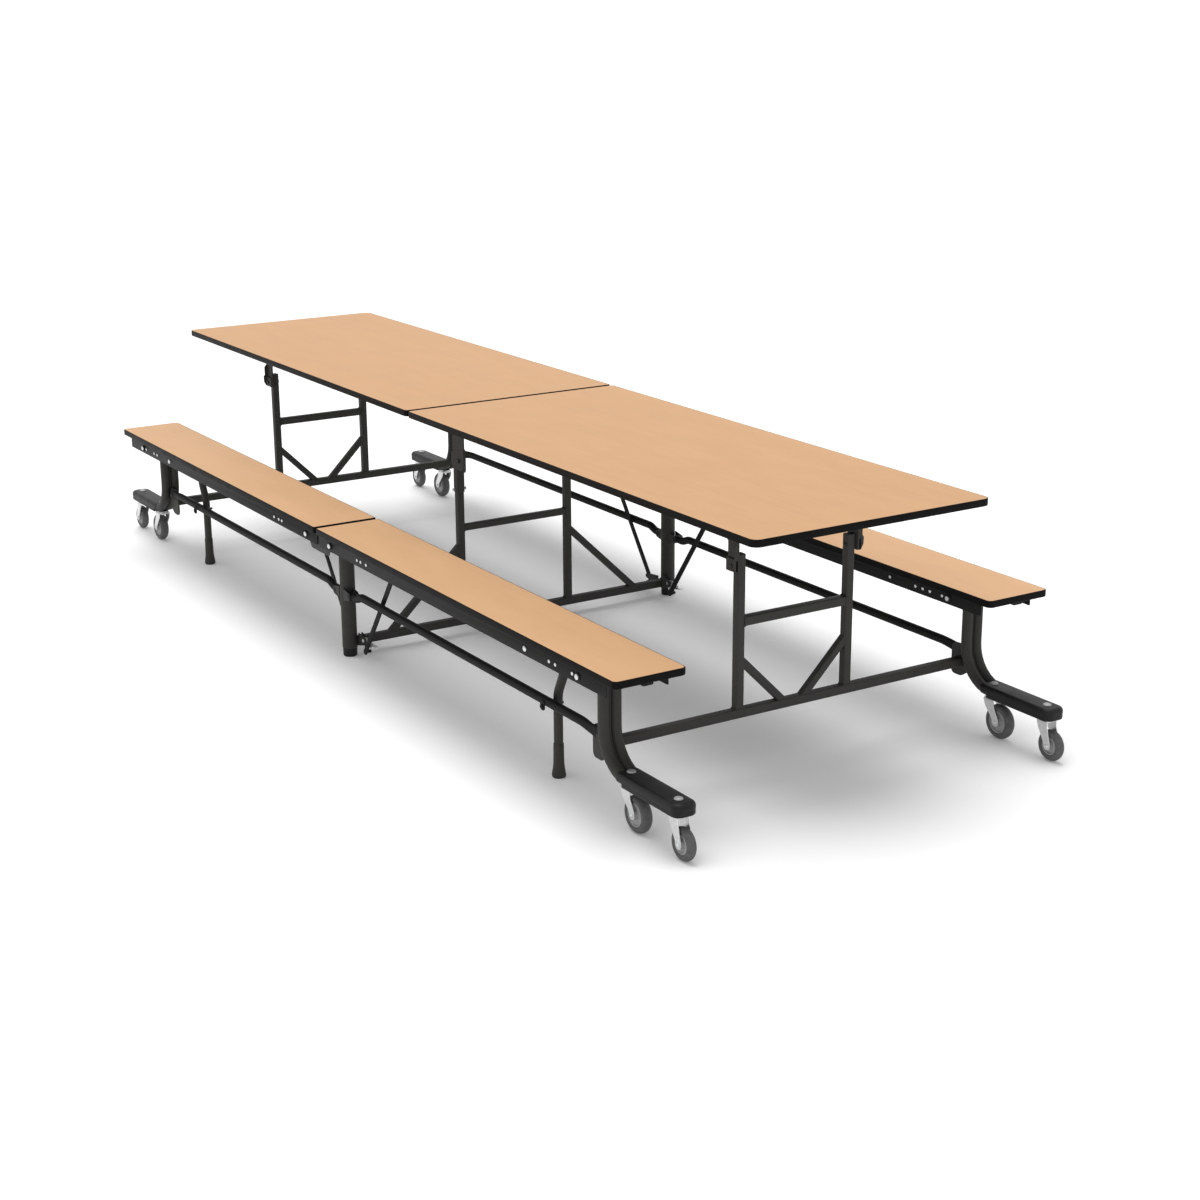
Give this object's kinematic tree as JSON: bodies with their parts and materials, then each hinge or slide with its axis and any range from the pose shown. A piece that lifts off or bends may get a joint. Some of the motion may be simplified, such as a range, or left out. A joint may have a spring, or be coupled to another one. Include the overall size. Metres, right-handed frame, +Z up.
{
  "type": "cafeteria folding table with benches",
  "caption": "Long folding dining table with a bench on each side, on bent tube end frames with casters and a lifting centre frame.",
  "frame": {"origin": "on the floor, under the middle of the open table", "axes": "+X along the table to its right end, +Y across it to the far bench, +Z up"},
  "size_m": [3.828, 1.422, 0.762],
  "materials": {
    "laminate": "satin maple laminate",
    "edge_band": "satin",
    "black_steel": "black powder coat",
    "black_plastic": "moulded",
    "zinc": "zinc plated",
    "grey_rubber": "moulded",
    "hub": "moulded"
  },
  "bodies": {
    "end_frame_left": {"end_legs_left": "black_steel", "end_crossframe_left": "black_steel", "foot_covers_left": "black_plastic", "end_bolts_left": "zinc"},
    "tabletop_left": {"table_board_left": "laminate", "table_edge_left": "edge_band", "table_hangers_left": "black_steel"},
    "benches_left": {"bench_boards_left": "laminate", "bench_edges_left": "edge_band", "bench_channels_left": "black_steel", "bench_bolts_left": "zinc"},
    "stretcher_pair_left": {"stretchers_left": "black_steel"},
    "support_left": {"support_leg_left": "black_steel"},
    "rod_pair_left": {"lock_rods_left": "black_steel"},
    "swivel_left_near_inner": {"caster_fork_left_near_inner": "zinc"},
    "wheel_left_near_inner": {"caster_tyre_left_near_inner": "grey_rubber", "caster_core_left_near_inner": "hub"},
    "swivel_left_near_outer": {"caster_fork_left_near_outer": "zinc"},
    "wheel_left_near_outer": {"caster_tyre_left_near_outer": "grey_rubber", "caster_core_left_near_outer": "hub"},
    "swivel_left_far_inner": {"caster_fork_left_far_inner": "zinc"},
    "wheel_left_far_inner": {"caster_tyre_left_far_inner": "grey_rubber", "caster_core_left_far_inner": "hub"},
    "swivel_left_far_outer": {"caster_fork_left_far_outer": "zinc"},
    "wheel_left_far_outer": {"caster_tyre_left_far_outer": "grey_rubber", "caster_core_left_far_outer": "hub"},
    "end_frame_right": {"end_legs_right": "black_steel", "end_crossframe_right": "black_steel", "foot_covers_right": "black_plastic", "end_bolts_right": "zinc"},
    "tabletop_right": {"table_board_right": "laminate", "table_edge_right": "edge_band", "table_hangers_right": "black_steel"},
    "benches_right": {"bench_boards_right": "laminate", "bench_edges_right": "edge_band", "bench_channels_right": "black_steel", "bench_bolts_right": "zinc"},
    "stretcher_pair_right": {"stretchers_right": "black_steel"},
    "support_right": {"support_leg_right": "black_steel"},
    "rod_pair_right": {"lock_rods_right": "black_steel"},
    "swivel_right_near_inner": {"caster_fork_right_near_inner": "zinc"},
    "wheel_right_near_inner": {"caster_tyre_right_near_inner": "grey_rubber", "caster_core_right_near_inner": "hub"},
    "swivel_right_near_outer": {"caster_fork_right_near_outer": "zinc"},
    "wheel_right_near_outer": {"caster_tyre_right_near_outer": "grey_rubber", "caster_core_right_near_outer": "hub"},
    "swivel_right_far_inner": {"caster_fork_right_far_inner": "zinc"},
    "wheel_right_far_inner": {"caster_tyre_right_far_inner": "grey_rubber", "caster_core_right_far_inner": "hub"},
    "swivel_right_far_outer": {"caster_fork_right_far_outer": "zinc"},
    "wheel_right_far_outer": {"caster_tyre_right_far_outer": "grey_rubber", "caster_core_right_far_outer": "hub"},
    "centre_frame": {"centre_legs": "black_steel", "centre_glides": "black_plastic", "centre_crossframe": "black_steel", "centre_brackets": "black_steel", "centre_bolts": "zinc"},
    "latch_near": {"foot_latch_near": "zinc"},
    "latch_far": {"foot_latch_far": "zinc"}
  },
  "joints": [
    {"name": "fold", "type": "hinge", "parent": "end_frame_left", "child": "benches_left", "pos_m": [-1.535, 0, 0.393], "axis": [0, -1, 0], "range_deg": [0, 85]},
    {"name": "centre_on_left_benches", "type": "hinge", "parent": "benches_left", "child": "centre_frame", "pos_m": [-0.087, 0, 0.393], "axis": [0, 1, 0], "range_deg": [0, 85]},
    {"name": "right_benches_on_centre", "type": "hinge", "parent": "centre_frame", "child": "benches_right", "pos_m": [0.087, 0, 0.393], "axis": [0, 1, 0], "range_deg": [0, 85]},
    {"name": "right_end_on_benches", "type": "hinge", "parent": "benches_right", "child": "end_frame_right", "pos_m": [1.535, 0, 0.393], "axis": [0, -1, 0], "range_deg": [0, 85]},
    {"name": "tabletop_left_fold", "type": "hinge", "parent": "end_frame_left", "child": "tabletop_left", "pos_m": [-1.498, 0, 0.592], "axis": [0, -1, 0], "range_deg": [0, 85]},
    {"name": "tabletop_right_fold", "type": "hinge", "parent": "centre_frame", "child": "tabletop_right", "pos_m": [0.05, 0, 0.592], "axis": [0, 1, 0], "range_deg": [0, 85]},
    {"name": "stretchers_left_fold", "type": "hinge", "parent": "end_frame_left", "child": "stretcher_pair_left", "pos_m": [-1.498, 0, 0.208], "axis": [0, -1, 0], "range_deg": [0, 85]},
    {"name": "stretchers_right_fold", "type": "hinge", "parent": "centre_frame", "child": "stretcher_pair_right", "pos_m": [0.05, 0, 0.208], "axis": [0, 1, 0], "range_deg": [0, 85]},
    {"name": "support_left_pivot", "type": "hinge", "parent": "benches_left", "child": "support_left", "pos_m": [-1.272, -0.582, 0.393], "axis": [0, 1, 0], "range_deg": [0, 85]},
    {"name": "support_right_pivot", "type": "hinge", "parent": "benches_right", "child": "support_right", "pos_m": [1.272, -0.582, 0.393], "axis": [0, -1, 0], "range_deg": [0, 85]},
    {"name": "lock_rods_left_swing", "type": "hinge", "parent": "benches_left", "child": "rod_pair_left", "pos_m": [-0.326, 0, 0.372], "axis": [0, 1, 0], "range_deg": [0, 128]},
    {"name": "lock_rods_right_swing", "type": "hinge", "parent": "benches_right", "child": "rod_pair_right", "pos_m": [0.326, 0, 0.372], "axis": [0, -1, 0], "range_deg": [0, 128]},
    {"name": "latch_pedal_near", "type": "hinge", "parent": "centre_frame", "child": "latch_near", "pos_m": [0.052, -0.578, 0.058], "axis": [0, 1, 0], "range_deg": [0, 12], "stiffness_Nm_per_rad": 2, "springref_deg": -17.19},
    {"name": "latch_pedal_far", "type": "hinge", "parent": "centre_frame", "child": "latch_far", "pos_m": [0.052, 0.578, 0.058], "axis": [0, 1, 0], "range_deg": [0, 12], "stiffness_Nm_per_rad": 2, "springref_deg": -17.19},
    {"name": "swivel_left_near_inner", "type": "hinge", "parent": "end_frame_left", "child": "swivel_left_near_inner", "pos_m": [-1.636, -0.607, 0.112], "axis": [0, 0, 1], "continuous": true},
    {"name": "roll_left_near_inner", "type": "hinge", "parent": "swivel_left_near_inner", "child": "wheel_left_near_inner", "pos_m": [-1.668, -0.607, 0.05], "axis": [0, 1, 0], "continuous": true},
    {"name": "swivel_left_near_outer", "type": "hinge", "parent": "end_frame_left", "child": "swivel_left_near_outer", "pos_m": [-1.845, -0.607, 0.112], "axis": [0, 0, 1], "continuous": true},
    {"name": "roll_left_near_outer", "type": "hinge", "parent": "swivel_left_near_outer", "child": "wheel_left_near_outer", "pos_m": [-1.87, -0.607, 0.044], "axis": [0, 1, 0], "continuous": true},
    {"name": "swivel_left_far_inner", "type": "hinge", "parent": "end_frame_left", "child": "swivel_left_far_inner", "pos_m": [-1.636, 0.607, 0.112], "axis": [0, 0, 1], "continuous": true},
    {"name": "roll_left_far_inner", "type": "hinge", "parent": "swivel_left_far_inner", "child": "wheel_left_far_inner", "pos_m": [-1.668, 0.607, 0.05], "axis": [0, 1, 0], "continuous": true},
    {"name": "swivel_left_far_outer", "type": "hinge", "parent": "end_frame_left", "child": "swivel_left_far_outer", "pos_m": [-1.845, 0.607, 0.112], "axis": [0, 0, 1], "continuous": true},
    {"name": "roll_left_far_outer", "type": "hinge", "parent": "swivel_left_far_outer", "child": "wheel_left_far_outer", "pos_m": [-1.87, 0.607, 0.044], "axis": [0, 1, 0], "continuous": true},
    {"name": "swivel_right_near_inner", "type": "hinge", "parent": "end_frame_right", "child": "swivel_right_near_inner", "pos_m": [1.636, -0.607, 0.112], "axis": [0, 0, 1], "continuous": true},
    {"name": "roll_right_near_inner", "type": "hinge", "parent": "swivel_right_near_inner", "child": "wheel_right_near_inner", "pos_m": [1.668, -0.607, 0.05], "axis": [0, 1, 0], "continuous": true},
    {"name": "swivel_right_near_outer", "type": "hinge", "parent": "end_frame_right", "child": "swivel_right_near_outer", "pos_m": [1.845, -0.607, 0.112], "axis": [0, 0, 1], "continuous": true},
    {"name": "roll_right_near_outer", "type": "hinge", "parent": "swivel_right_near_outer", "child": "wheel_right_near_outer", "pos_m": [1.87, -0.607, 0.044], "axis": [0, 1, 0], "continuous": true},
    {"name": "swivel_right_far_inner", "type": "hinge", "parent": "end_frame_right", "child": "swivel_right_far_inner", "pos_m": [1.636, 0.607, 0.112], "axis": [0, 0, 1], "continuous": true},
    {"name": "roll_right_far_inner", "type": "hinge", "parent": "swivel_right_far_inner", "child": "wheel_right_far_inner", "pos_m": [1.668, 0.607, 0.05], "axis": [0, 1, 0], "continuous": true},
    {"name": "swivel_right_far_outer", "type": "hinge", "parent": "end_frame_right", "child": "swivel_right_far_outer", "pos_m": [1.845, 0.607, 0.112], "axis": [0, 0, 1], "continuous": true},
    {"name": "roll_right_far_outer", "type": "hinge", "parent": "swivel_right_far_outer", "child": "wheel_right_far_outer", "pos_m": [1.87, 0.607, 0.044], "axis": [0, 1, 0], "continuous": true}
  ],
  "couplings": [
    {"joint": "centre_on_left_benches", "follows": "fold", "ratio": 1},
    {"joint": "right_benches_on_centre", "follows": "fold", "ratio": 1},
    {"joint": "right_end_on_benches", "follows": "fold", "ratio": 1},
    {"joint": "tabletop_left_fold", "follows": "fold", "ratio": 1},
    {"joint": "tabletop_right_fold", "follows": "fold", "ratio": 1},
    {"joint": "stretchers_left_fold", "follows": "fold", "ratio": 1},
    {"joint": "stretchers_right_fold", "follows": "fold", "ratio": 1},
    {"joint": "support_left_pivot", "follows": "fold", "ratio": 1},
    {"joint": "support_right_pivot", "follows": "fold", "ratio": 1},
    {"joint": "lock_rods_left_swing", "follows": "fold", "ratio": 1.5},
    {"joint": "lock_rods_right_swing", "follows": "fold", "ratio": 1.5}
  ]
}
